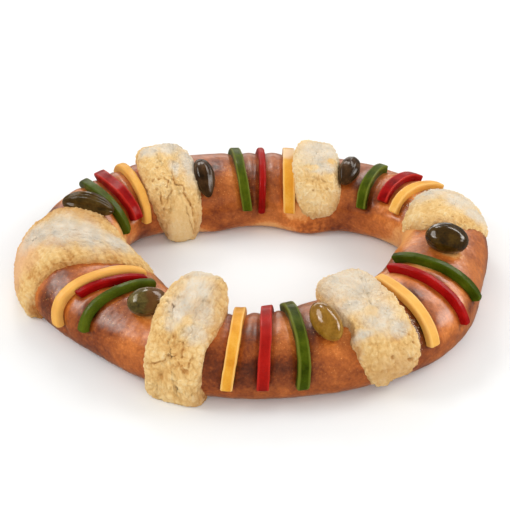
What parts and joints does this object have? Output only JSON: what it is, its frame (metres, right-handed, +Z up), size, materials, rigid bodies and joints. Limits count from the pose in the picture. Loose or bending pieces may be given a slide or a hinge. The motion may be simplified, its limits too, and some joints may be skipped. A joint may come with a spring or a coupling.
{
  "type": "roscon de reyes",
  "caption": "Oval ring loaf of sweet Epiphany bread with a flat base, topped with bands of baked sugar paste, fruit-paste strips and candied fruit.",
  "frame": {"origin": "middle of the base, the bottom centre of the bounding box, on the surface it rests on", "axes": "+Z up, +X along the ring's long way, -Y towards the side shown at the front of the picture"},
  "size_m": [0.4231, 0.3397, 0.0727],
  "materials": {
    "bread": "egg-glazed brown bread crust, soft sheen",
    "sugar_crust": "matte baked sugar paste with white sugar dust",
    "fruit_paste_yellow": "satin fruit paste",
    "fruit_paste_red": "glossy fruit paste",
    "fruit_paste_green": "glossy fruit paste",
    "candied_fruit_olive": "glossy candied fruit",
    "candied_fruit_dark": "glossy candied fruit"
  },
  "bodies": {
    "root": {"bread_ring": "bread", "sugar_crust_1": "sugar_crust", "sugar_crust_2": "sugar_crust", "sugar_crust_3": "sugar_crust", "sugar_crust_4": "sugar_crust", "sugar_crust_5": "sugar_crust", "sugar_crust_6": "sugar_crust", "strip_yellow_1": "fruit_paste_yellow", "strip_yellow_2": "fruit_paste_yellow", "strip_yellow_3": "fruit_paste_yellow", "strip_yellow_4": "fruit_paste_yellow", "strip_yellow_5": "fruit_paste_yellow", "strip_yellow_6": "fruit_paste_yellow", "strip_red_1": "fruit_paste_red", "strip_red_2": "fruit_paste_red", "strip_red_3": "fruit_paste_red", "strip_red_4": "fruit_paste_red", "strip_red_5": "fruit_paste_red", "strip_red_6": "fruit_paste_red", "strip_green_1": "fruit_paste_green", "strip_green_2": "fruit_paste_green", "strip_green_3": "fruit_paste_green", "strip_green_4": "fruit_paste_green", "strip_green_5": "fruit_paste_green", "strip_green_6": "fruit_paste_green", "candied_fruit_1": "candied_fruit_dark", "candied_fruit_2": "candied_fruit_dark", "candied_fruit_3": "candied_fruit_dark", "candied_fruit_4": "candied_fruit_dark", "candied_fruit_5": "candied_fruit_dark", "candied_fruit_6": "candied_fruit_olive"}
  },
  "joints": []
}
